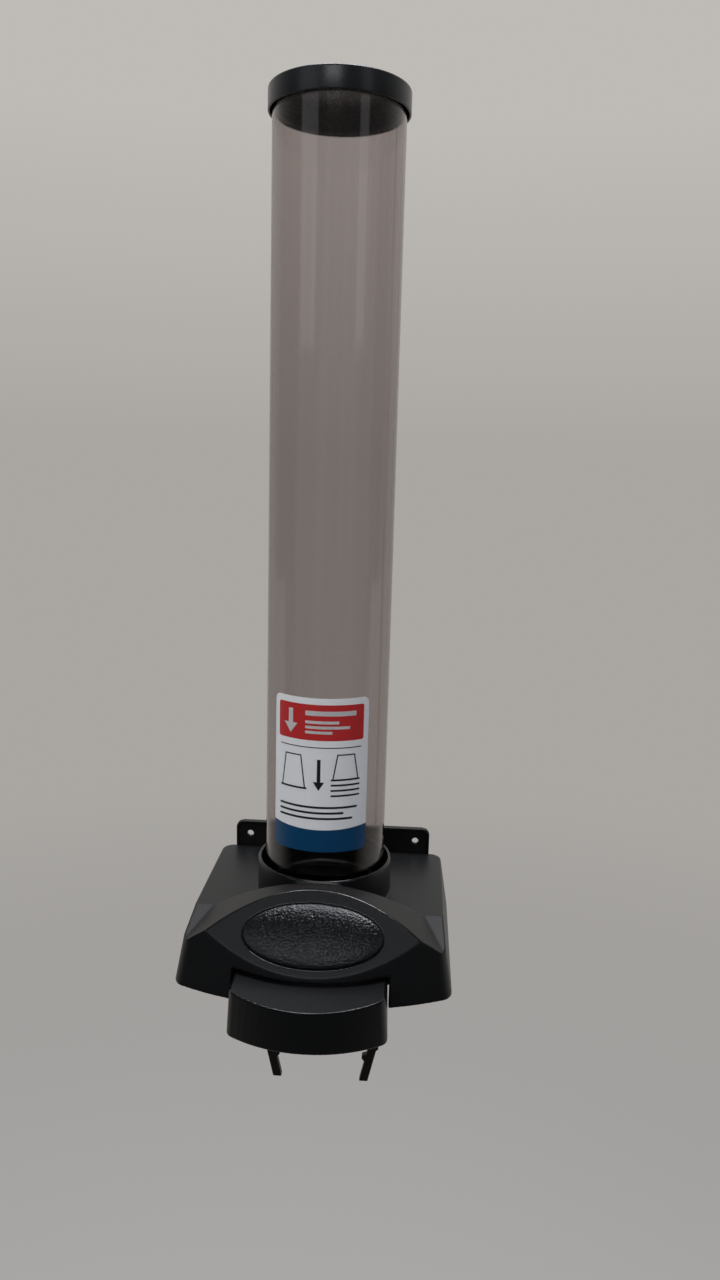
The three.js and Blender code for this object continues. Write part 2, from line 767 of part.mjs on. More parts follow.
// Pusher: curved front shell with a finger edge, closed above and open below and behind
function pushButton() {
  const bottom = pusherZ - pusherHeight;
  const crown = pusherZ + pusherDish;
  const outer = skin(
    [
      pusherPlan(0, bottom, -pusherBack),
      pusherPlan(0, crown - pusherEdge, -pusherBack),
      pusherPlan(pusherEdge * edgeShare, crown - pusherEdge * edgeShare, -pusherBack),
      pusherPlan(pusherEdge, crown, -pusherBack),
    ],
    fromAbove,
  );
  const dish = new THREE.Shape();
  dish.moveTo(-pusherHalfWidth, crown + overrun);
  dish.lineTo(-pusherHalfWidth, crown);
  dish.quadraticCurveTo(0, pusherZ - pusherDish, pusherHalfWidth, crown);
  dish.lineTo(pusherHalfWidth, crown + overrun);
  const room = skin(
    [
      pusherPlan(pusherWall, bottom - overrun, -pusherBack + overrun),
      pusherPlan(pusherWall, pusherZ - pusherWall, -pusherBack + overrun),
    ],
    fromAbove,
  );
  const flank = slabYZ(
    outline([
      [-pusherReach + pusherCorner * flankFootShare, bottom - overrun],
      [0, bottom - overrun],
      [0, pusherZ - pusherWall],
      [-pusherBack - pusherWall, pusherZ - pusherWall],
      [-pusherReach + pusherCorner * flankTopShare, bottom + pusherWall * 2],
    ]),
    -pusherHalfWidth - overrun,
    pusherHalfWidth + overrun,
  );
  const web = block(-footHalfWidth, footHalfWidth, -pusherBack - pusherWall, -pusherBack, footZ,
    pusherZ - pusherEdge);
  const foot = block(-footHalfWidth, footHalfWidth, -pusherBack - pusherWall, -footBack, footZ,
    footZ + yokeThickness);
  const ribs = [-1, 1].map((side) =>
    slabYZ(
      outline([
        [-pusherBack, footZ],
        [-footBack - yokeThickness, footZ],
        [-pusherBack, pusherZ - pusherEdge * 2],
      ]),
      side * footHalfWidth * footRibShare - pusherWall / 2,
      side * footHalfWidth * footRibShare + pusherWall / 2,
    ),
  );
  const holes = buttonScrewPlaces().map(([x, y]) =>
    barZ(screwRadius + screwClearance, x, y, footZ - overrun, footZ + yokeThickness + overrun,
      screwFacets),
  );
  const shell = outer
    .subtract(slabXZ(dish, -pusherReach - overrun, overrun, archSteps))
    .subtract(room)
    .subtract(flank);
  return join([shell, web, foot, ...ribs]).subtract(join(holes));
}

function buttonScrewPlaces() {
  const y = -(yokeFront + yokeBarBack) / 2;
  return [-1, 1].map((side) => [(side * footHalfWidth) / 2, y]);
}

// A straight slot with round ends, from one point to another
function slotPath(x0, y0, x1, y1, radius) {
  const along = Math.atan2(y1 - y0, x1 - x0);
  const path = new THREE.Path();
  path.absarc(x1, y1, radius, along - Math.PI / 2, along + Math.PI / 2);
  path.absarc(x0, y0, radius, along + Math.PI / 2, along + (Math.PI * 3) / 2);
  return path;
}

// Yoke: slides under the pusher round the throat, turns the claws and meets the springs
function releaseSlider() {
  const plan = new THREE.Shape();
  plan.moveTo(-yokeHalfWidth, yokeEnd);
  plan.lineTo(-yokeHalfWidth, -yokeFront);
  plan.lineTo(yokeHalfWidth, -yokeFront);
  plan.lineTo(yokeHalfWidth, yokeEnd);
  plan.lineTo(yokeInner, yokeEnd);
  const bend = yokeInner - yokeCorner;
  plan.absarc(bend, -yokeBarBack + yokeCorner, yokeCorner, 0, -Math.PI / 2, true);
  plan.absarc(-bend, -yokeBarBack + yokeCorner, yokeCorner, -Math.PI / 2, -Math.PI, true);
  plan.lineTo(-yokeInner, yokeEnd);
  const swing = driveArm * (1 - Math.cos(clawTurn));
  for (const side of [-1, 1]) {
    const outer = side * driveX;
    const inner = outer - side * swing;
    const [x0, x1] = side > 0 ? [inner, outer] : [outer, inner];
    plan.holes.push(slotPath(x0, 0, x1, 0, drivePin + driveClearance));
    const shank = shoulderRadius + screwClearance;
    plan.holes.push(slotPath(side * shoulderX, shoulderY - stroke, side * shoulderX, shoulderY, shank));
  }
  const parts = [slabXY(plan, yokeZ, yokeTop)];
  for (const side of [-1, 1]) {
    const x = Math.min(side * yokeInner, side * (yokeInner + tabWidth));
    parts.push(block(x, x + tabWidth, yokeEnd - tabThickness, yokeEnd, yokeZ, yokeZ + tabHeight));
    parts.push(barY(postRadius, side * springX, springZ, yokeEnd - tabThickness, yokeEnd + postLength));
  }
  const holes = buttonScrewPlaces().map(([x, y]) =>
    barZ(screwRadius + screwClearance, x, y, yokeZ - overrun, yokeTop + overrun, screwFacets),
  );
  return join(parts).subtract(join(holes));
}

// A flat bar with round ends between two points
function link(x0, y0, x1, y1, halfWidth, z0, z1) {
  const shape = new THREE.Shape(slotPath(x0, y0, x1, y1, halfWidth).getPoints(8));
  return slabXY(shape, z0, z1);
}

// A claw's tongue: an arm from the pivot with a band that follows the throat
function tongue(z) {
  const band = new THREE.Shape();
  const from = THREE.MathUtils.degToRad(-tongueEnd);
  const to = THREE.MathUtils.degToRad(-tongueStart);
  band.absarc(0, 0, tongueOuter, from, to);
  band.absarc(0, 0, tongueInner, to, from, true);
  const middle = (from + to) / 2;
  const reach = (tongueInner + tongueOuter) / 2;
  const arm = link(hubX, 0, reach * Math.cos(middle), reach * Math.sin(middle), armHalfWidth, z,
    z + tongueThickness);
  return slabXY(band, z, z + tongueThickness).add(arm);
}

// Turns a solid about a claw's pivot, or mirrors it in one of the middle planes
function moved(body, matrix) {
  const made = body.getMesh();
  const geometry = new THREE.BufferGeometry();
  geometry.setAttribute("position", new THREE.BufferAttribute(made.vertProperties, 3));
  geometry.setIndex(new THREE.BufferAttribute(made.triVerts, 1));
  geometry.applyMatrix4(matrix);
  if (matrix.determinant() < 0) {
    const index = geometry.index.array;
    for (let i = 0; i < index.length; i += 3) {
      [index[i + 1], index[i + 2]] = [index[i + 2], index[i + 1]];
    }
  }
  return solid(geometry);
}

// Claw on the right: the lower tongue holds the last cup, the upper one swings in above its rim
function clawRight() {
  const lowerZ = floorZ + lowerTongueRise;
  const hubZ = floorZ + footHeight + touchGap;
  const mirrorY = new THREE.Matrix4().makeScale(1, -1, 1);
  const back = new THREE.Matrix4()
    .makeTranslation(hubX, 0, 0)
    .multiply(new THREE.Matrix4().makeRotationZ(-clawTurn))
    .multiply(new THREE.Matrix4().makeTranslation(-hubX, 0, 0));
  const upper = moved(tongue(lowerZ + cupPitch), back.multiply(mirrorY));
  return join([
    tongue(lowerZ),
    upper,
    barZ(hubRadius, hubX, 0, hubZ, hubZ + hubHeight),
    link(hubX, 0, driveX, 0, driveHalfWidth, hubZ, hubZ + yokeThickness),
    barZ(drivePin, driveX, 0, yokeZ + touchGap, hubZ + yokeThickness),
  ]).subtract(barZ(pinRadius + pinClearance, hubX, 0, hubZ - overrun, hubZ + hubHeight + overrun));
}

function clawPin(x) {
  const top = floorZ + footHeight + touchGap + hubHeight + touchGap + clipThickness + touchGap;
  return barZ(pinRadius, x, 0, skirtZ + touchGap * 4, top);
}

function clawClip(x) {
  const z = floorZ + footHeight + touchGap + hubHeight + touchGap;
  return barZ(clipRadius, x, 0, z, z + clipThickness).subtract(
    barZ(pinRadius + touchGap, x, 0, z - overrun, z + overrun),
  );
}

// Return spring along Y: one unbroken wire, 8 steps of 5 sides in each turn, its ends straight
// for one wire diameter
const springSteps = 8;
const springSides = 5;
function springPath() {
  const wire = springWire / 2;
  const start = springStart + wire;
  const travel = springEnd - wire - start;
  const count = springTurns * springSteps;
  const points = [];
  for (let i = 0; i <= count; i += 1) {
    const a = (i / springSteps) * Math.PI * 2;
    points.push(
      new THREE.Vector3(springCoil * Math.cos(a), start + (travel * i) / count, springCoil * Math.sin(a)),
    );
  }
  const first = points[0].clone().add(new THREE.Vector3(0, 0, -springWire));
  const last = points[count].clone().add(new THREE.Vector3(0, 0, springWire));
  return [first, ...points, last];
}

function returnSpring(x) {
  const path = springPath();
  const rings = path.map((p, k) => {
    const before = path[Math.max(k - 1, 0)];
    const after = path[Math.min(k + 1, path.length - 1)];
    const along = after.clone().sub(before).normalize();
    const out = new THREE.Vector3(p.x, 0, p.z).normalize();
    out.addScaledVector(along, -out.dot(along)).normalize();
    const side = along.clone().cross(out);
    const ring = [];
    for (let i = 0; i < springSides; i += 1) {
      const a = (i / springSides) * Math.PI * 2;
      const point = p.clone();
      point.addScaledVector(out, (Math.cos(a) * springWire) / 2);
      point.addScaledVector(side, (Math.sin(a) * springWire) / 2);
      point.add(new THREE.Vector3(x, 0, springZ));
      ring.push(point);
    }
    return ring;
  });
  const round = (p) => {
    const k = rings[0].indexOf(p);
    const a = (k / springSides) * Math.PI * 2;
    return new THREE.Vector2(Math.cos(a), Math.sin(a));
  };
  return skin(rings, round);
}

// The least gap from the wire to itself, measured between points over half a turn apart
function springSelfGap() {
  const path = springPath();
  let least = Infinity;
  for (let i = 0; i < path.length; i += 1) {
    for (let j = i + springSteps / 2; j < path.length; j += 1) {
      least = Math.min(least, path[i].distanceTo(path[j]));
    }
  }
  return least - springWire;
}
console.log("least gap of a return spring to itself, mm:", springSelfGap().toFixed(2));

// Cup guide: an open chute under the floor with two legs that catch the mouth of the falling cup
function cupGuide() {
  const bore = mouthRadius + guideClearance;
  const outer = bore + guideWall;
  const top = skirtZ - touchGap;
  const flangeBottom = top - guideWall;
  const bottom = top - guideLength;
  const flange = turned([
    [flangeRadius, top],
    [bore, top],
    [bore, flangeBottom],
    [flangeRadius, flangeBottom],
  ]);
  const shell = turned([
    [outer, top],
    [bore, top],
    [bore, bottom],
    [outer, bottom],
  ]);
  const opening = block(-outer - overrun, outer + overrun, -outer - overrun, -guideFront,
    bottom - overrun, flangeBottom - guideWall);
  const rise = slabYZ(
    outline([
      [-guideFront - overrun, bottom - overrun],
      [outer + overrun, bottom - overrun],
      [outer + overrun, bottom + guideBackRise],
      [guideFront, bottom + guideBackRise * guideSideShare],
      [-guideFront + legDepth, bottom],
    ]),
    -outer - overrun,
    outer + overrun,
  );
  const notch = barY(guideNotch, 0, bottom + guideBackRise, 0, outer + overrun);
  const frontX = Math.sqrt(outer ** 2 - guideFront ** 2);
  const legs = [-1, 1].map((side) => {
    const ring = (x, z) => {
      const a = side > 0 ? x - legWidth : -x;
      const b = side > 0 ? x : -x + legWidth;
      return [
        new THREE.Vector3(a, -guideFront, z),
        new THREE.Vector3(b, -guideFront, z),
        new THREE.Vector3(b, -guideFront + legDepth, z),
        new THREE.Vector3(a, -guideFront + legDepth, z),
      ];
    };
    const leg = skin(
      [ring(frontX - legPull, bottom - legLength), ring(frontX, bottom + legWidth)],
      fromAbove,
    );
    const inner = frontX - legWidth - (legPull * nibDrop) / legLength;
    const nibTop = bottom - nibDrop;
    const nib = slabXZ(
      outline(
        [
          [inner + legWidth / 2, nibTop + nibHeight / 2],
          [inner - nibDepth, nibTop],
          [inner - nibDepth, nibTop - nibHeight / 2],
          [inner - nibDepth / 2, nibTop - nibHeight],
          [inner + legWidth / 2, nibTop - nibHeight],
        ].map(([x, z]) => [side * x, z]),
      ),
      -guideFront,
      -guideFront + legDepth,
    );
    return leg.add(nib);
  });
  const holes = guideScrewPlaces().map(([x, y]) =>
    barZ(screwRadius + screwClearance, x, y, flangeBottom - overrun, top + overrun, screwFacets),
  );
  return join([shell.subtract(opening).subtract(rise).subtract(notch), flange, ...legs]).subtract(
    join(holes),
  );
}

// A pan-head screw that stands along Z: head under its seat when up is true, over it when false
function screw(x, y, seat, length, up) {
  const sign = up ? 1 : -1;
  const head = seat - sign * screwHeadHeight;
  const tip = seat + sign * length;
  return join([
    barZ(screwHead, x, y, Math.min(seat, head), Math.max(seat, head)),
    barZ(screwRadius, x, y, Math.min(seat - sign * touchGap, tip), Math.max(seat - sign * touchGap, tip),
      screwFacets),
  ]);
}

// A shoulder screw: its wide head keeps the yoke down, its shoulder runs in the yoke's slot
function shoulderScrew(x) {
  return join([
    barZ(shoulderRadius * 2, x, shoulderY, footZ, footZ + screwHeadHeight),
    barZ(shoulderRadius, x, shoulderY, floorZ + touchGap, footZ + touchGap),
    barZ(screwRadius, x, shoulderY, skirtZ, floorZ + touchGap * 2, screwFacets),
  ]);
}

const unit = new THREE.Group();
unit.position.set(0, -axisToWall, 0);

unit.add(mesh("wall_frame", wallFrame(), finishes.deepBlack));
unit.add(mesh("top_cover", topCover(), finishes.black));
unit.add(mesh("oval_badge", ovalBadge(), finishes.deepBlack));
unit.add(mesh("cup_tube", cupTube(), finishes.smoke));
unit.add(mesh("tube_label", tubeLabel(), finishes.film));
unit.add(mesh("tube_cap", tubeCap(), finishes.black));
unit.add(mesh("push_button", pushButton(), finishes.black));
unit.add(mesh("release_slider", releaseSlider(), finishes.acetal));
unit.add(mesh("cup_guide", cupGuide(), finishes.deepBlack));

const mirrorX = new THREE.Matrix4().makeScale(-1, 1, 1);
const claw = clawRight();
unit.add(mesh("claw_right", claw, finishes.acetal));
unit.add(mesh("claw_left", moved(claw, mirrorX), finishes.acetal));
for (const [name, side] of [
  ["right", 1],
  ["left", -1],
]) {
  unit.add(mesh("claw_pin_" + name, clawPin(side * hubX), finishes.steel));
  unit.add(mesh("claw_clip_" + name, clawClip(side * hubX), finishes.steel));
  unit.add(mesh("return_spring_" + name, returnSpring(side * springX), finishes.steel));
  unit.add(mesh("slider_screw_" + name, shoulderScrew(side * shoulderX), finishes.steel));
  const [x, y] = buttonScrewPlaces()[side > 0 ? 1 : 0];
  const seat = footZ + yokeThickness + touchGap;
  const length = seat - yokeZ - touchGap;
  unit.add(mesh("button_screw_" + name, screw(x, y, seat, length, false), finishes.steel));
}
bossPlaces.forEach(([x, y], k) => {
  const body = screw(x, y, skirtZ - touchGap, coverScrewLength, true);
  unit.add(mesh("cover_screw_" + (k + 1), body, finishes.steel));
});
guideScrewPlaces().forEach(([x, y], k) => {
  const seat = skirtZ - touchGap - guideWall - touchGap;
  unit.add(mesh("guide_screw_" + (k + 1), screw(x, y, seat, guideScrewLength, true), finishes.steel));
});

const group = new THREE.Group();
group.add(unit);
export default group;
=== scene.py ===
import math

import bmesh
import bpy
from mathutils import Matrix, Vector


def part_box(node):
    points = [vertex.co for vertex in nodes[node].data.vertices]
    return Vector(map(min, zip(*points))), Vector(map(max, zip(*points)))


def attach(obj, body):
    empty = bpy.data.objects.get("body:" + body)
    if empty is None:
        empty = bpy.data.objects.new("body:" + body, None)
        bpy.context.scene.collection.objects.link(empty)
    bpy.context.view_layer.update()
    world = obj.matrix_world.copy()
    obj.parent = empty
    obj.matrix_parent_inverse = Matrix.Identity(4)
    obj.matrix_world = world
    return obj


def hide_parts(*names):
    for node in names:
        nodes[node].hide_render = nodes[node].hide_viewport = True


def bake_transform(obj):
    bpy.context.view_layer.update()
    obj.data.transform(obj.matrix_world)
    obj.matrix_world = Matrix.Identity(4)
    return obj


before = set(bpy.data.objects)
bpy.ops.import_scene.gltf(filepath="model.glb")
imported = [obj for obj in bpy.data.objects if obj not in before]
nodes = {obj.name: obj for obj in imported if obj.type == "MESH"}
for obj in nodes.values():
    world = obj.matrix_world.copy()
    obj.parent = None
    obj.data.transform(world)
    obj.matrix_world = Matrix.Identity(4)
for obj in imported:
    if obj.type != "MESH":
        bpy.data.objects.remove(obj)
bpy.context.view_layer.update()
mm = 0.001

# Camera and studio
# The camera stands where the photograph was taken from, a little to the right and above the
# body. A wide soft lamp hangs overhead, weaker ones stand at the sides and in front, and the
# walls and the floor are pale.
scene = bpy.context.scene
scene.view_settings.view_transform = "Standard"
camera_data = bpy.data.cameras.new("camera")
camera_data.sensor_width = 36
camera_data.lens = 27.0
camera_data.clip_start = 0.01


def placed(name, data):
    """A new object in the scene, at the origin."""
    obj = bpy.data.objects.new(name, data)
    scene.collection.objects.link(obj)
    return obj


camera = placed("camera", camera_data)
camera.location = (0.0529, -0.6619, 0.2753)
camera.rotation_euler = [math.radians(a) for a in (79.013, -1.49, 3.463)]
scene.camera = camera


def linear(code):
    """A colour written as sRGB hex, as the linear values that Blender works in."""
    parts = [int(code[i : i + 2], 16) / 255 for i in (0, 2, 4)]
    return [c / 12.92 if c <= 0.04045 else ((c + 0.055) / 1.055) ** 2.4 for c in parts] + [1.0]


def add(tree, kind, sockets=None, **settings):
    """Adds a node with its settings. A socket takes a value, or another node's output as a link."""
    made = tree.nodes.new(kind)
    for key, value in settings.items():
        setattr(made, key, value)
    for key, value in (sockets or {}).items():
        if isinstance(value, bpy.types.NodeSocket):
            tree.links.new(value, made.inputs[key])
        else:
            made.inputs[key].default_value = value
    return made


def lamp(name, place, target, size, power, tone, mirrored=True):
    """A soft rectangular lamp at a place, turned to a target, both in metres, with its power in
    watts. One that isn't mirrored lights the object but shows in no gloss."""
    data = bpy.data.lights.new(name, "AREA")
    data.shape = "RECTANGLE"
    data.size, data.size_y = size
    data.energy = power
    data.color = linear(tone)[:3]
    obj = placed(name, data)
    obj.location = place
    aim = Vector(target) - Vector(place)
    obj.rotation_euler = aim.to_track_quat("-Z", "Y").to_euler()
    obj.visible_glossy = obj.visible_transmission = mirrored


lamp("overhead", (0.05, 0.1, 1.7), (0, -0.1, 0.0), (0.95, 0.55), 26, "f6f8ff")
lamp("right", (1.4, -1.35, 1.15), (0, -0.06, 0.2), (0.5, 1.3), 0.9, "f6f7ff")
lamp("left", (-1.4, -1.45, 1.15), (0, -0.06, 0.2), (1.1, 1.3), 2.0, "fbfbff")
lamp("label", (-0.9, -1.5, 0.9), (0, -0.06, 0.1), (0.8, 1.0), 11.5, "fffaf5", mirrored=False)
lamp("front_high", (-0.2, -1.95, 1.31), (0, -0.1, 0.45), (0.8, 0.35), 3.6, "f2f6fc")

# The room on the camera's side is darker than the walls beside and behind the object, except at
# the height of its windows, and the light on the walls falls off towards the floor. Heights in
# the room are given as the rise of the direction to them, from 0, level, to 1, straight up.
backdrop, backdrop_low = "bebbb7", "a9a6a2"
room_behind, windows = 0.04, 0.32
sill, lintel = (0.08, 0.32), (0.45, 0.75)
backdrop_full = 0.3
world = bpy.data.worlds.new("studio")
world.use_nodes = True
scene.world = world
tree = world.node_tree
rays = add(tree, "ShaderNodeLightPath")
direction = add(tree, "ShaderNodeTexCoord")
split = add(tree, "ShaderNodeSeparateXYZ", {0: direction.outputs["Generated"]})
rise = add(tree, "ShaderNodeMapRange", {"Value": split.outputs["Z"], "From Max": backdrop_full})
wall_tone = add(
    tree,
    "ShaderNodeMix",
    {"Factor": rise.outputs["Result"], "A": linear(backdrop_low), "B": linear(backdrop)},
    data_type="RGBA",
)
below = add(
    tree,
    "ShaderNodeMapRange",
    {
        "Value": split.outputs["Z"],
        "From Min": sill[0],
        "From Max": sill[1],
        "To Min": room_behind,
        "To Max": windows,
    },
    interpolation_type="SMOOTHSTEP",
)
above = add(
    tree,
    "ShaderNodeMapRange",
    {
        "Value": split.outputs["Z"],
        "From Min": lintel[0],
        "From Max": lintel[1],
        "To Min": windows,
        "To Max": room_behind,
    },
    interpolation_type="SMOOTHSTEP",
)
behind = add(
    tree,
    "ShaderNodeMath",
    {0: below.outputs["Result"], 1: above.outputs["Result"]},
    operation="MINIMUM",
)
depth = add(
    tree,
    "ShaderNodeMapRange",
    {"Value": split.outputs["Y"], "From Min": -0.25, "From Max": 0.75, "To Min": behind.outputs[0]},
    interpolation_type="SMOOTHSTEP",
)
mirrored = add(
    tree, "ShaderNodeMath", {0: rays.outputs["Glossy Depth"], 1: 0.5}, operation="GREATER_THAN"
)
level = add(
    tree,
    "ShaderNodeMix",
    {"Factor": mirrored.outputs[0], "A": 1.0, "B": depth.outputs["Result"]},
    data_type="FLOAT",
)
shown = add(
    tree,
    "ShaderNodeBackground",
    {"Color": wall_tone.outputs["Result"], "Strength": level.outputs["Result"]},
)
ambient = add(tree, "ShaderNodeBackground", {"Color": linear("b9bcc4"), "Strength": 0.42})
pick = add(
    tree,
    "ShaderNodeMixShader",
    {0: rays.outputs["Is Diffuse Ray"], 1: shown.outputs[0], 2: ambient.outputs[0]},
)
tree.links.new(pick.outputs[0], tree.nodes["World Output"].inputs["Surface"])


def new_look(name):
    """A new material, with its node tree and its shader."""
    look = bpy.data.materials.new(name)
    look.use_nodes = True
    return look, look.node_tree, look.node_tree.nodes["Principled BSDF"]


# The floor lies 1 m below the wall plate's holes. It is half hidden by the backdrop's tone up
# to 1 m from them and wholly from 3.2 m, so that its edge doesn't show, and in gloss it darkens
# towards the camera as the room does.
floor_level, floor_reach = -1, 9
floor_near, floor_far, floor_hidden = 1.0, 3.2, 0.45
corners = [(x * floor_reach, y * floor_reach) for x, y in ((-1, -1), (1, -1), (1, 1), (-1, 1))]
floor_mesh = bpy.data.meshes.new("floor")
floor_mesh.from_pydata([(x, y, floor_level) for x, y in corners], [], [(0, 1, 2, 3)])
floor = placed("floor", floor_mesh)
floor_look, tree, shader = new_look("pale_floor")
shader.inputs["Base Color"].default_value = linear("cfccc8")
shader.inputs["Roughness"].default_value = 0.8
rays = add(tree, "ShaderNodeLightPath")
place = add(tree, "ShaderNodeNewGeometry")
split = add(tree, "ShaderNodeSeparateXYZ", {0: place.outputs["Position"]})
depth = add(
    tree,
    "ShaderNodeMapRange",
    {"Value": split.outputs["Y"], "From Min": -1.3, "From Max": 0.4, "To Min": room_behind},
    interpolation_type="SMOOTHSTEP",
)
mirrored = add(
    tree, "ShaderNodeMath", {0: rays.outputs["Glossy Depth"], 1: 0.5}, operation="GREATER_THAN"
)
dim = add(
    tree,
    "ShaderNodeMix",
    {"Factor": mirrored.outputs[0], "A": 1.0, "B": depth.outputs["Result"]},
    data_type="FLOAT",
)
far = add(tree, "ShaderNodeVectorMath", {0: place.outputs["Position"]}, operation="LENGTH")
fade = add(
    tree,
    "ShaderNodeMapRange",
    {
        "Value": far.outputs["Value"],
        "From Min": floor_near,
        "From Max": floor_far,
        "To Min": floor_hidden,
    },
    interpolation_type="SMOOTHSTEP",
)
seen = add(
    tree,
    "ShaderNodeMath",
    {0: rays.outputs["Is Diffuse Ray"], 1: fade.outputs["Result"]},
    operation="LESS_THAN",
)
share = add(
    tree,
    "ShaderNodeMath",
    {0: seen.outputs[0], 1: fade.outputs["Result"]},
    operation="MULTIPLY",
)
share = add(
    tree, "ShaderNodeMath", {0: share.outputs[0], 1: mirrored.outputs[0]}, operation="MAXIMUM"
)
plain = add(
    tree, "ShaderNodeEmission", {"Color": linear(backdrop_low), "Strength": dim.outputs["Result"]}
)
joined = add(
    tree,
    "ShaderNodeMixShader",
    {0: share.outputs[0], 1: shader.outputs[0], 2: plain.outputs[0]},
)
tree.links.new(joined.outputs[0], tree.nodes["Material Output"].inputs["Surface"])
floor.data.materials.append(floor_look)


# Cover and pusher
# Injection-moulded black ABS with a spark-eroded texture: the cover is screwed on from below and
# the pusher slides in its slot. The mould rounds every edge and use rubs it smooth, which gives
# the brow and the finger edge their bright line.
rubbed_from, rubbed_to = 0.503, 0.522  # Pointiness, which is 0.5 on flat ground


def moulded(name, dark, light, rough, grain_mm, depth_mm, polish=0.0):
    """A moulded plastic: fine grain in bump and gloss, and a slow change of tone over about
    36 mm. Its outer edges are rubbed smoother by the polish, from 0 to 1."""
    look, tree, shader = new_look(name)
    where = add(tree, "ShaderNodeTexCoord").outputs["Object"]
    tone = add(tree, "ShaderNodeTexNoise", {"Vector": where, "Scale": 28, "Detail": 3})
    colours = add(
        tree,
        "ShaderNodeMix",
        {"Factor": tone.outputs["Fac"], "A": linear(dark), "B": linear(light)},
        data_type="RGBA",
    )
    grain = add(
        tree, "ShaderNodeTexNoise", {"Vector": where, "Scale": 1 / (grain_mm * mm), "Detail": 2}
    )
    gloss = add(
        tree,
        "ShaderNodeMapRange",
        {"Value": grain.outputs["Fac"], "To Min": rough - 0.07, "To Max": rough + 0.07},
    )
    bump = add(tree, "ShaderNodeBump", {"Height": grain.outputs["Fac"], "Distance": depth_mm * mm})
    edge = add(
        tree,
        "ShaderNodeMapRange",
        {
            "Value": add(tree, "ShaderNodeNewGeometry").outputs["Pointiness"],
            "From Min": rubbed_from,
            "From Max": rubbed_to,
            "To Min": 1.0,
            "To Max": 1.0 - polish,
        },
        interpolation_type="SMOOTHSTEP",
    )
    gloss = add(
        tree,
        "ShaderNodeMath",
        {0: gloss.outputs["Result"], 1: edge.outputs["Result"]},
        operation="MULTIPLY",
    )
    tree.links.new(colours.outputs["Result"], shader.inputs["Base Color"])
    tree.links.new(gloss.outputs[0], shader.inputs["Roughness"])
    tree.links.new(bump.outputs["Normal"], shader.inputs["Normal"])
    return look


def adopt(obj, body, slot, look, *stands_for):
    """Gives a finished piece its material and body, and hides the CAD nodes it stands for. The slot
    is not used.
    """
    obj.data.materials.clear()
    obj.data.materials.append(look)
    for polygon in obj.data.polygons:
        polygon.use_smooth = True
    if body:
        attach(obj, body)
    if stands_for:
        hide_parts(*stands_for)


def plain_mesh(obj):
    """The mesh of an object with its modifiers worked in."""
    graph = bpy.context.evaluated_depsgraph_get()
    return bpy.data.meshes.new_from_object(obj.evaluated_get(graph))


def rounded(node, name, voxel, passes, most=180000):
    """A copy of a CAD piece with every edge rounded, as a mould leaves it, from voxels of a size
    in millimetres smoothed in so many passes, and thinned to so many triangles at most."""
    copy = placed(name, nodes[node].data.copy())
    remesh = copy.modifiers.new("remesh", "REMESH")
    remesh.mode = "VOXEL"
    remesh.voxel_size = voxel * mm * 1
    remesh.adaptivity = 0
    smooth = copy.modifiers.new("smooth", "SMOOTH")
    smooth.factor = 0.5
    smooth.iterations = passes
    mesh = plain_mesh(copy)
    triangles = 2 * len(mesh.polygons)
    bpy.data.objects.remove(copy)
    obj = placed(name, mesh)
    if triangles > most:
        fewer = obj.modifiers.new("fewer", "DECIMATE")
        fewer.ratio = most / triangles
        thin = plain_mesh(obj)
        obj.modifiers.clear()
        obj.data = thin
    return obj


cover_look = moulded(
    "abs_eroded_black",
    "06080a",
    "090b0e",
    rough=0.42,
    grain_mm=0.45,
    depth_mm=0.03,
    polish=0.85,
)
cover = rounded("top_cover", "moulded_cover", voxel=0.5, passes=14)
adopt(cover, "base", "cover_black", cover_look, "top_cover")
pusher = rounded("push_button", "moulded_pusher", voxel=0.36, passes=14)
adopt(pusher, "button", "cover_black", cover_look, "push_button")

# Oval inlay
# A separate domed plate of ABS pressed into the sloping face, with a leather-like grain that
# sparkles where the overhead light meets it. The grain is drawn coarser and deeper than it is,
# to show.
dome = 2.0
inlay_look = moulded(
    "abs_grained_black", "06070a", "0b0d11", rough=0.22, grain_mm=1.25, depth_mm=0.36
)
inlay = rounded("oval_badge", "oval_inlay", voxel=0.4, passes=4)
low, high = (Vector(corner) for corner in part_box("oval_badge"))
middle = (low + high) / 2
half_length = (high.x - low.x) / 2
half_width = math.hypot(high.y - low.y, high.z - low.z) / 2
downhill = Vector((0, -(high.y - low.y), -(high.z - low.z))).normalized()
outward = Vector((0, downhill.z, -downhill.y))
for vert in inlay.data.vertices:
    here = vert.co - middle
    spread = (here.x / half_length) ** 2 + (here.dot(downhill) / half_width) ** 2
    if here.dot(outward) > 0 and spread < 1:
        vert.co += outward * dome * mm * (1 - spread)
adopt(inlay, "base", "inlay_black", inlay_look, "oval_badge")

# Wall frame and chute
# Plain matt black polypropylene, moulded in a simpler tool than the cover, with faint
# highlights. The frame has two holes for screws in the wall, and the chute hangs under its floor.
frame_look = moulded(
    "polypropylene_black", "060607", "090a0a", rough=0.5, grain_mm=0.6, depth_mm=0.03
)
wall_frame = rounded("wall_frame", "moulded_wall_frame", voxel=0.6, passes=3)
adopt(wall_frame, "base", "frame_black", frame_look, "wall_frame")
chute = rounded("cup_guide", "moulded_chute", voxel=0.45, passes=4)
adopt(chute, "base", "frame_black", frame_look, "cup_guide")


# Cap
# A turned-looking moulding in satin black ABS, pushed on: an outer skirt that hangs over the
# tube, and a plug ring that sits inside it and shows through the smoked wall.
tube_axis = (0.0, -63 * mm)


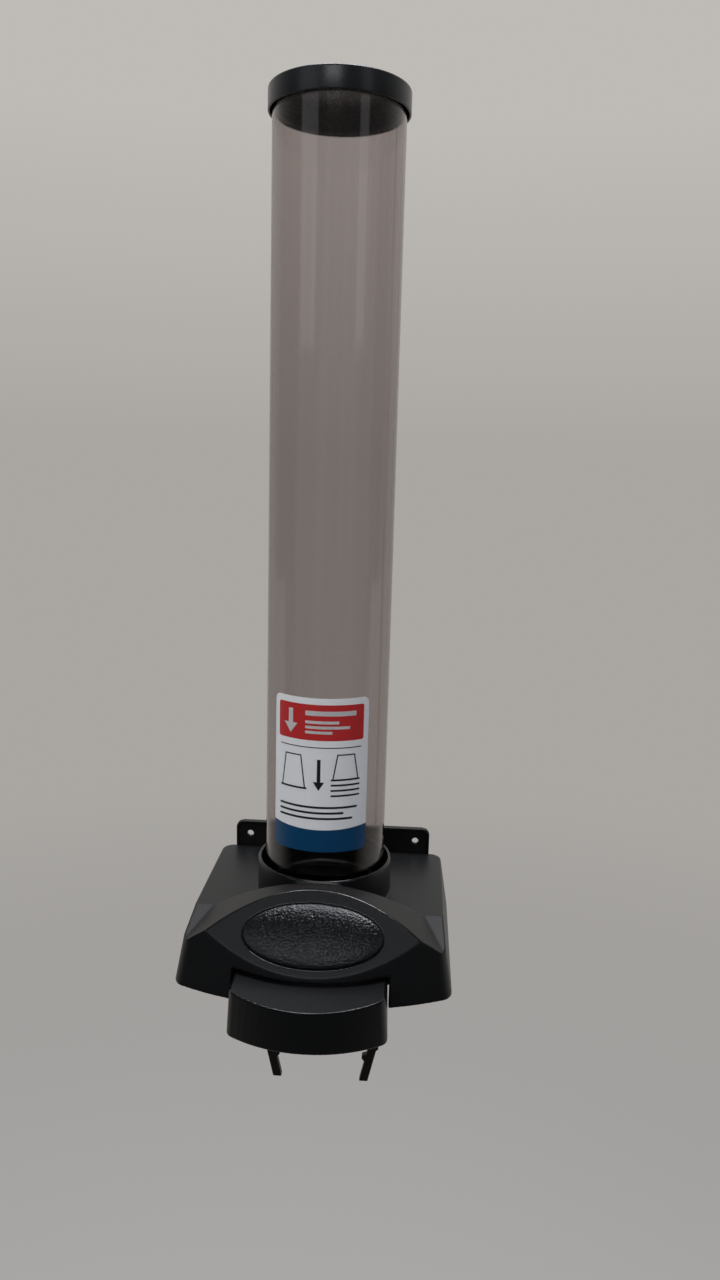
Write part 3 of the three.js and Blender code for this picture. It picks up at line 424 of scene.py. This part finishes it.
def softened(profile, radius, steps=5):
    """A closed profile with each corner replaced by a curve, in the profile's own unit. A curve
    takes less than half of a short side, and a corner on the axis stays."""
    made = []
    count = len(profile)
    for k, corner in enumerate(profile):
        here = Vector(corner)
        before, after = Vector(profile[k - 1]), Vector(profile[(k + 1) % count])
        if here.x < 1e-9:
            made.append((0.0, here.y))
            continue
        cut = min(radius, 0.45 * (before - here).length, 0.45 * (after - here).length)
        start = here + (before - here).normalized() * cut
        end = here + (after - here).normalized() * cut
        for i in range(steps + 1):
            t = i / steps
            point = start * (1 - t) ** 2 + here * 2 * t * (1 - t) + end * t**2
            made.append((point.x, point.y))
    return made


def lathe(name, profile, steps, centre=tube_axis):
    """A closed profile of (radius, z) in millimetres, turned about an upright axis through a
    centre in metres."""
    count = len(profile)
    points, faces = [], []
    for i in range(steps):
        a = 2 * math.pi * i / steps
        for r, z in profile:
            x, y = centre[0] + r * mm * math.cos(a), centre[1] + r * mm * math.sin(a)
            points.append((x, y, z * mm))
    for i in range(steps):
        j = (i + 1) % steps
        for k in range(count):
            m = (k + 1) % count
            faces.append((i * count + k, j * count + k, j * count + m, i * count + m))
    mesh = bpy.data.meshes.new(name)
    mesh.from_pydata(points, [], faces)
    work = bmesh.new()
    work.from_mesh(mesh)
    bmesh.ops.remove_doubles(work, verts=work.verts, dist=1e-6)
    bmesh.ops.dissolve_degenerate(work, edges=work.edges, dist=1e-7)
    bmesh.ops.recalc_face_normals(work, faces=work.faces)
    work.to_mesh(mesh)
    work.free()
    return placed(name, mesh)


low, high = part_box("tube_cap")
cap_radius = (high[0] - low[0]) / 2 / mm
cap_top, cap_bottom = high[2] / mm, low[2] / mm
cap_plate, cap_skirt, cap_edge = 2.0, 1.2, 1.3
plug_radius, plug_wall, plug_depth = 37.2, 1.5, 10.0
under = cap_top - cap_plate
cap_profile = [
    (0, cap_top),
    (0, under),
    (plug_radius - plug_wall, under),
    (plug_radius - plug_wall, under - plug_depth),
    (plug_radius, under - plug_depth),
    (plug_radius, under),
    (cap_radius - cap_skirt, under),
    (cap_radius - cap_skirt, cap_bottom),
    (cap_radius, cap_bottom),
    (cap_radius, cap_top),
]
cap_look = moulded(
    "abs_satin_black", "0b0f13", "12171d", rough=0.26, grain_mm=0.5, depth_mm=0.012
)
cap = lathe("moulded_cap", softened(cap_profile, cap_edge), steps=160)
adopt(cap, "cap", "cover_black", cap_look, "tube_cap")

# Tube
# Extruded clear acrylic with a smoke tint, sawn to length and stood in the collar. The tint
# comes from absorption in the wall, and the die leaves faint bands along the tube and one fine
# weld line at its back right.
tube_outer, tube_inner, tube_bevel, tube_end = 39.0, 37.5, 0.2, 1.0
low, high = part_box("cup_tube")
bottom, top = low[2] / mm, high[2] / mm
outer = [
    (tube_outer - tube_bevel, bottom),
    (tube_outer, bottom + tube_bevel),
    (tube_outer, bottom + tube_end),
    (tube_outer, top - tube_end),
    (tube_outer, top - tube_bevel),
    (tube_outer - tube_bevel, top),
]
inner = [
    (tube_inner + tube_bevel, top),
    (tube_inner, top - tube_bevel),
    (tube_inner, top - tube_end),
    (tube_inner, bottom + tube_end),
    (tube_inner, bottom + tube_bevel),
    (tube_inner + tube_bevel, bottom),
]
tube = lathe("smoked_tube", outer + inner, steps=192)


def on_tube(radius, angle):
    """The x and y of a point round the tube, from its front towards its right."""
    reach = radius * mm
    return reach * math.sin(angle), tube_axis[1] - reach * math.cos(angle)


# One pattern ignores the height, for the weld line, and the other is drawn out 100 times along
# the tube, for the bands.
weld_angle = math.radians(119)
weld = (*on_tube(tube_outer, weld_angle), 0)
smoke, tree, shader = new_look("acrylic_smoke")
shader.inputs["Transmission Weight"].default_value = 1
shader.inputs["IOR"].default_value = 1.49
where = add(tree, "ShaderNodeTexCoord")
flat = add(tree, "ShaderNodeMapping", {"Vector": where.outputs["Object"], "Scale": (1, 1, 0)})
pull = add(tree, "ShaderNodeMapping", {"Vector": where.outputs["Object"], "Scale": (1, 1, 0.01)})
streak = add(
    tree, "ShaderNodeTexNoise", {"Vector": pull.outputs["Vector"], "Scale": 110, "Detail": 3}
)
bump = add(tree, "ShaderNodeBump", {"Height": streak.outputs["Fac"], "Distance": 0.12 * mm})
gloss = add(
    tree, "ShaderNodeMapRange", {"Value": streak.outputs["Fac"], "To Min": 0.03, "To Max": 0.09}
)
band = add(
    tree,
    "ShaderNodeMapRange",
    {"Value": streak.outputs["Fac"], "From Min": 0.3, "From Max": 0.7, "To Min": 0.94},
)
near = add(
    tree, "ShaderNodeVectorMath", {0: flat.outputs["Vector"], 1: weld}, operation="DISTANCE"
)
line = add(
    tree,
    "ShaderNodeMapRange",
    {"Value": near.outputs["Value"], "From Min": 0.45 * mm, "From Max": 0.95 * mm, "To Min": 0.3},
    interpolation_type="SMOOTHSTEP",
)
clear = add(
    tree,
    "ShaderNodeMath",
    {0: band.outputs["Result"], 1: line.outputs["Result"]},
    operation="MULTIPLY",
)
tree.links.new(clear.outputs[0], shader.inputs["Base Color"])
tree.links.new(gloss.outputs["Result"], shader.inputs["Roughness"])
tree.links.new(bump.outputs["Normal"], shader.inputs["Normal"])
tint = add(tree, "ShaderNodeVolumeAbsorption", {"Color": (0.34, 0.22, 0.2, 1), "Density": 300})
tree.links.new(tint.outputs[0], tree.nodes["Material Output"].inputs["Volume"])
adopt(tube, "base", "smoked_tube", smoke, "cup_tube")


# Label
# A vinyl film printed in three colours and stuck on the front of the tube. Its design is a plain
# one: a red panel with an arrow, pictures of a cup and of a stack of cups, and a dark blue foot.
def rectangle(u0, u1, v0, v1, corner=0.6, steps=5):
    """A rectangle with round corners, counter-clockwise, in millimetres."""
    made = []
    left, right, low, high = u0 + corner, u1 - corner, v0 + corner, v1 - corner
    for k, (u, v) in enumerate(((right, low), (right, high), (left, high), (left, low))):
        for i in range(steps + 1):
            a = math.radians(90 * (k - 1 + i / steps))
            made.append((u + corner * math.cos(a), v + corner * math.sin(a)))
    return made


def stroke(points, width):
    """An open line of even width, as one four-sided shape for each of its stretches."""
    places = [Vector(p) for p in points]
    last = len(places) - 1
    sides = []
    for k, here in enumerate(places):
        before = places[k - 1] if k > 0 else here * 2 - places[1]
        after = places[k + 1] if k < last else here * 2 - places[k - 1]
        into, out = (here - before).normalized(), (after - here).normalized()
        normal = Vector((-into.y - out.y, into.x + out.x)).normalized()
        reach = width / 2 / normal.dot(Vector((-into.y, into.x)))
        sides.append((here + normal * reach, here - normal * reach))
    made = []
    for k in range(last):
        (left0, right0), (left1, right1) = sides[k], sides[k + 1]
        made.append([tuple(p) for p in (right0, right1, left1, left0)])
    return made


def arrow_down(u, v0, v1, shaft, head, head_height):
    """An arrow that points down, from its tip at v0 to the end of its shaft at v1."""
    neck = v0 + head_height
    return [
        (u, v0),
        (u + head / 2, neck),
        (u + shaft / 2, neck),
        (u + shaft / 2, v1),
        (u - shaft / 2, v1),
        (u - shaft / 2, neck),
        (u - head / 2, neck),
    ]


# The film lies just off the tube, and the inks lie on it in two layers, given as radii in
# millimetres. Each layer sinks a little into the one below, so that no gap shows.
film_layer, ink_layer, mark_layer = (39.1, 39.34), (39.3, 39.38), (39.36, 39.42)
bend_radius, strip, strips_each_side = 39.3, 2, 16
label_width = 64.6
label_turn = math.radians(-2)
low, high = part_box("tube_label")
label_foot = low[2]
label_height = (high[2] - low[2]) / mm


def printed(name, shapes, layer, look, *stands_for):
    """Flat shapes, as (across, up) in millimetres from the foot of the label's middle line, cut
    into upright strips and bent round the tube between a layer's two radii."""
    inner, outer = layer
    work = bmesh.new()
    for shape in shapes:
        work.faces.new([work.verts.new((u * mm, 0, v * mm)) for u, v in shape])
    for k in range(-strips_each_side, strips_each_side + 1):
        every = work.verts[:] + work.edges[:] + work.faces[:]
        cut = (strip * k * mm, 0, 0)
        bmesh.ops.bisect_plane(work, geom=every, plane_co=cut, plane_no=(1, 0, 0))
    backs = bmesh.ops.extrude_face_region(work, geom=work.faces[:], use_keep_orig=True)
    depth = {v: outer for v in work.verts}
    depth.update({v: inner for v in backs["geom"] if isinstance(v, bmesh.types.BMVert)})
    for vert, r in depth.items():
        angle = vert.co.x / (bend_radius * mm) + label_turn
        vert.co = (*on_tube(r, angle), label_foot + vert.co.z)
    bmesh.ops.recalc_face_normals(work, faces=work.faces)
    mesh = bpy.data.meshes.new(name)
    work.to_mesh(mesh)
    work.free()
    adopt(placed(name, mesh), "base", "label_film", look, *stands_for)
    for polygon in mesh.polygons:
        polygon.use_smooth = False


# Cast vinyl and its inks are smooth and half glossy. The white film is thin enough to let some
# light through, so its back isn't black in the tube.
vinyl_grain = {"grain_mm": 0.8, "depth_mm": 0.004}
vinyl_white = moulded("vinyl_white", "dfe3e8", "e6e9ed", rough=0.3, **vinyl_grain)
shader = vinyl_white.node_tree.nodes["Principled BSDF"]
shader.inputs["Subsurface Weight"].default_value = 1
shader.inputs["Subsurface Radius"].default_value = (1, 1, 1)
shader.inputs["Subsurface Scale"].default_value = 0.4 * mm
vinyl_red = moulded("vinyl_red", "b0282b", "b92d2f", rough=0.3, **vinyl_grain)
vinyl_navy = moulded("vinyl_navy", "023a60", "053f66", rough=0.3, **vinyl_grain)
vinyl_ink = moulded("vinyl_ink", "15191f", "1b2027", rough=0.35, **vinyl_grain)
half = label_width / 2
film = rectangle(-half, half, 0, label_height, corner=4, steps=8)
printed("label_film", [film], film_layer, vinyl_white, "tube_label")

# The foot's top edge hangs 2 mm lower in its middle than at its sides.
foot_side, foot_middle, crest_steps = 16.4, 14.4, 24
crest = [half * (1 - 2 * i / crest_steps) for i in range(crest_steps + 1)]
foot_top = [(u, foot_middle + (foot_side - foot_middle) * (u / half) ** 2) for u in crest]
foot = [(u, v) for u, v in film if v < label_height / 2]
foot_left = sorted((p for p in foot if p[0] < 0), key=lambda p: -p[1])
foot_right = sorted((p for p in foot if p[0] > 0), key=lambda p: p[1])
printed("label_foot", [foot_left + foot_right + foot_top], ink_layer, vinyl_navy)

printed("label_panel", [rectangle(-28.5, 28.5, 72, 94.5, corner=1.4)], ink_layer, vinyl_red)
panel_marks = [arrow_down(-19, 75.5, 91, shaft=3.2, head=9.6, head_height=6.5)]
for u1, v0, v1 in ((23, 87.6, 90.6), (12, 82.6, 84.4), (19, 79.4, 81.2), (8, 76.2, 78)):
    panel_marks.append(rectangle(-9, u1, v0, v1))
printed("label_panel_marks", panel_marks, mark_layer, vinyl_white)

line_width, rim_overhang, rim_half_height, rim_pitch = 0.8, 1.3, 0.6, 3.4


def cup_picture(u, v, base_half, mouth_half, height, rims):
    """An upturned cup in outline, with its rim and those of the cups nested in it."""
    top = v + height
    side = [(u - mouth_half, v), (u - base_half, top), (u + base_half, top), (u + mouth_half, v)]
    marks = stroke(side, line_width)
    rim_half = mouth_half + rim_overhang
    for k in range(rims):
        low, high = v - rim_half_height - rim_pitch * k, v + rim_half_height - rim_pitch * k
        marks.append(rectangle(u - rim_half, u + rim_half, low, high, corner=0.5))
    return marks


ink = cup_picture(-17, 41, base_half=5.4, mouth_half=8.2, height=21, rims=1)
ink += cup_picture(17, 47, base_half=5.4, mouth_half=8.2, height=16, rims=4)
ink.append(arrow_down(0, 40, 60, shaft=2.2, head=7, head_height=5.5))
ink.append(rectangle(-27, 27, 67.2, 67.8, corner=0.25))
for u1, v0, v1 in ((25, 28.4, 29.8), (16, 24.8, 26.2), (22, 21.2, 22.6)):
    ink.append(rectangle(-27, u1, v0, v1))
printed("label_ink", ink, ink_layer, vinyl_ink)

# Yoke and claws
# Moulded black acetal, which slides well and wears little, and looks a little waxy. The pins,
# push-on clips and shoulder screws that hold them are zinc-plated steel, grey with a soft shine.
acetal = moulded("acetal_black", "0d0e0f", "121314", rough=0.38, grain_mm=0.7, depth_mm=0.01)


def plated(name, dark, light, rough, grain_mm):
    """A bare metal with fine working marks in its gloss, and a change of tone over 6 mm."""
    look, tree, shader = new_look(name)
    shader.inputs["Metallic"].default_value = 1
    where = add(tree, "ShaderNodeTexCoord").outputs["Object"]
    tone = add(tree, "ShaderNodeTexNoise", {"Vector": where, "Scale": 160, "Detail": 4})
    colours = add(
        tree,
        "ShaderNodeMix",
        {"Factor": tone.outputs["Fac"], "A": linear(dark), "B": linear(light)},
        data_type="RGBA",
    )
    marks = add(
        tree, "ShaderNodeTexNoise", {"Vector": where, "Scale": 1 / (grain_mm * mm), "Detail": 2}
    )
    gloss = add(
        tree,
        "ShaderNodeMapRange",
        {"Value": marks.outputs["Fac"], "To Min": rough - 0.08, "To Max": rough + 0.08},
    )
    tree.links.new(colours.outputs["Result"], shader.inputs["Base Color"])
    tree.links.new(gloss.outputs["Result"], shader.inputs["Roughness"])
    return look


zinc = plated("steel_zinc_plated", "a9adb3", "c6cacf", rough=0.3, grain_mm=0.4)
steel_kinds = ("claw_pin_", "claw_clip_", "slider_screw_")
held = [kind + side for side in ("left", "right") for kind in steel_kinds]
for look, names in ((acetal, ("release_slider", "claw_left", "claw_right")), (zinc, held)):
    for name in names:
        nodes[name].data.materials.clear()
        nodes[name].data.materials.append(look)


# Return springs
# Coiled from bright drawn spring wire. Each stands between a post on the yoke and one on the
# wall plate. The real one shortens as the pusher goes in; this one keeps the length it is drawn at.
def new_tree(name, inputs):
    """A Geometry Nodes tree with named inputs and one output, and the outputs of its inputs."""
    tree = bpy.data.node_groups.new(name, "GeometryNodeTree")
    for label, kind in inputs:
        tree.interface.new_socket(label, in_out="INPUT", socket_type="NodeSocket" + kind)
    tree.interface.new_socket("Geometry", in_out="OUTPUT", socket_type="NodeSocketGeometry")
    return tree, add(tree, "NodeGroupInput").outputs


def end_tree(tree, geometry, finish):
    """Ends a tree: its instances are made real and get one material."""
    real = add(tree, "GeometryNodeRealizeInstances", {"Geometry": geometry})
    coated = add(
        tree,
        "GeometryNodeSetMaterial",
        {"Geometry": real.outputs["Geometry"], "Material": finish},
    )
    add(tree, "NodeGroupOutput", {"Geometry": coated.outputs["Geometry"]})


def grown(name, tree, values, seed=None):
    """The plain mesh that a tree makes from a seed mesh, with its inputs set by name."""
    obj = placed(name, seed or bpy.data.meshes.new(name))
    modifier = obj.modifiers.new("grown", "NODES")
    modifier.node_group = tree
    for item in tree.interface.items_tree:
        if item.in_out == "INPUT" and item.name in values:
            modifier[item.identifier] = values[item.name]
    obj.update_tag()
    mesh = plain_mesh(obj)
    obj.modifiers.clear()
    obj.data = mesh
    return obj


spring_inputs = [
    ("Geometry", "Geometry"),
    ("Turns", "Float"),
    ("Coil radius", "Float"),
    ("Wire radius", "Float"),
    ("Length", "Float"),
    ("Place", "Vector"),
    ("Finish", "Material"),
]
spring_tree, given = new_tree("wire_spring", spring_inputs)
coil = add(
    spring_tree,
    "GeometryNodeCurveSpiral",
    {
        "Resolution": 28,
        "Rotations": given["Turns"],
        "Start Radius": given["Coil radius"],
        "End Radius": given["Coil radius"],
        "Height": given["Length"],
    },
)
wire = add(
    spring_tree,
    "GeometryNodeCurvePrimitiveCircle",
    {"Resolution": 10, "Radius": given["Wire radius"]},
)
swept = add(
    spring_tree,
    "GeometryNodeCurveToMesh",
    {"Curve": coil.outputs["Curve"], "Profile Curve": wire.outputs["Curve"], "Fill Caps": True},
)
laid = add(
    spring_tree,
    "GeometryNodeTransform",
    {
        "Geometry": swept.outputs["Mesh"],
        "Translation": given["Place"],
        "Rotation": (-math.pi / 2, 0, 0),
    },
)
end_tree(spring_tree, laid.outputs["Geometry"], given["Finish"])

spring_turns, coil_radius, wire_radius = 9.0, 4.05 * mm, 0.45 * mm
wire_look = plated("steel_spring_wire", "7f8387", "a0a4a8", rough=0.28, grain_mm=0.5)
for side in ("left", "right"):
    low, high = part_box("return_spring_" + side)
    middle = (Vector(low) + Vector(high)) / 2
    values = {
        "Turns": spring_turns,
        "Coil radius": coil_radius,
        "Wire radius": wire_radius,
        "Length": high[1] - low[1] - 2 * wire_radius,
        "Place": (middle.x, low[1] + wire_radius, middle.z),
        "Finish": wire_look,
    }
    spring = grown("wire_spring_" + side, spring_tree, values)
    adopt(spring, None, "spring_steel", wire_look, "return_spring_" + side)
    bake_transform(spring)

# Screws
# Zinc-plated pan-head screws with a cross recess, cold-headed from wire. They go in from below
# for the cover and the chute, and from above for the pusher's foot.
head_radius, head_height, shank_radius = 3.0, 2.0, 1.2
crown_share, flank_share = 0.7, 0.45
tip_radius, tip_height, screw_edge = 0.2, 1, 0.5
recess_width, recess_span, recess_depth = 0.8, 3.4, 1.2
recess_turn = math.radians(20)


def cross_screw(name, length):
    """One screw that stands on its head, with its seat at the origin."""
    profile = softened(
        [
            (0, -head_height),
            (head_radius * crown_share, -head_height),
            (head_radius, -head_height * flank_share),
            (head_radius, 0),
            (shank_radius, 0),
            (shank_radius, length - tip_height),
            (tip_radius, length),
            (0, length),
        ],
        screw_edge,
        steps=3,
    )
    body = lathe(name, profile, steps=32, centre=(0, 0))
    work = bmesh.new()
    for turn in (0, math.pi / 2):
        arm = bmesh.ops.create_cube(work, size=1)["verts"]
        size = (recess_span * mm, recess_width * mm, recess_depth * 2 * mm)
        bmesh.ops.scale(work, verts=arm, vec=size)
        if turn:
            for vert in arm:
                vert.co.x, vert.co.y = -vert.co.y, vert.co.x
        bmesh.ops.translate(work, verts=arm, vec=(0, 0, -head_height * mm))
    mesh = bpy.data.meshes.new("recess")
    work.to_mesh(mesh)
    work.free()
    cutter = placed("recess", mesh)
    cut = body.modifiers.new("recess", "BOOLEAN")
    cut.object = cutter
    cut.solver = "EXACT"
    cut.use_self = True
    made = plain_mesh(body)
    bpy.data.objects.remove(cutter)
    body.modifiers.clear()
    body.data = made
    return body


screw_inputs = [
    ("Geometry", "Geometry"),
    ("Screw", "Object"),
    ("Turn", "Vector"),
    ("Finish", "Material"),
]
screw_tree, given = new_tree("screw_set", screw_inputs)
source = add(screw_tree, "GeometryNodeObjectInfo", {"Object": given["Screw"]})
turned = add(screw_tree, "FunctionNodeEulerToRotation", {0: given["Turn"]})
places = add(
    screw_tree,
    "GeometryNodeInstanceOnPoints",
    {
        "Points": given["Geometry"],
        "Instance": source.outputs["Geometry"],
        "Rotation": turned.outputs[0],
    },
)
end_tree(screw_tree, places.outputs["Instances"], given["Finish"])

for name, body, names, upside in (
    ("cover_screws", "base", ["cover_screw_%d" % k for k in (1, 2, 3, 4)], False),
    ("chute_screws", "base", ["guide_screw_%d" % k for k in (1, 2, 3)], False),
    ("pusher_screws", "button", ["button_screw_left", "button_screw_right"], True),
):
    seats = []
    for node in names:
        low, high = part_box(node)
        seat = high[2] - head_height * mm if upside else low[2] + head_height * mm
        seats.append(((low[0] + high[0]) / 2, (low[1] + high[1]) / 2, seat))
    length = (high[2] - low[2]) / mm - head_height
    source = cross_screw("one_of_" + name, length)
    points = bpy.data.meshes.new(name)
    points.from_pydata(seats, [], [])
    turn = (math.pi if upside else 0, 0, recess_turn)
    values = {"Screw": source, "Turn": turn, "Finish": zinc}
    screws = grown(name, screw_tree, values, points)
    bpy.data.objects.remove(source)
    adopt(screws, body, "steel", zinc, *names)
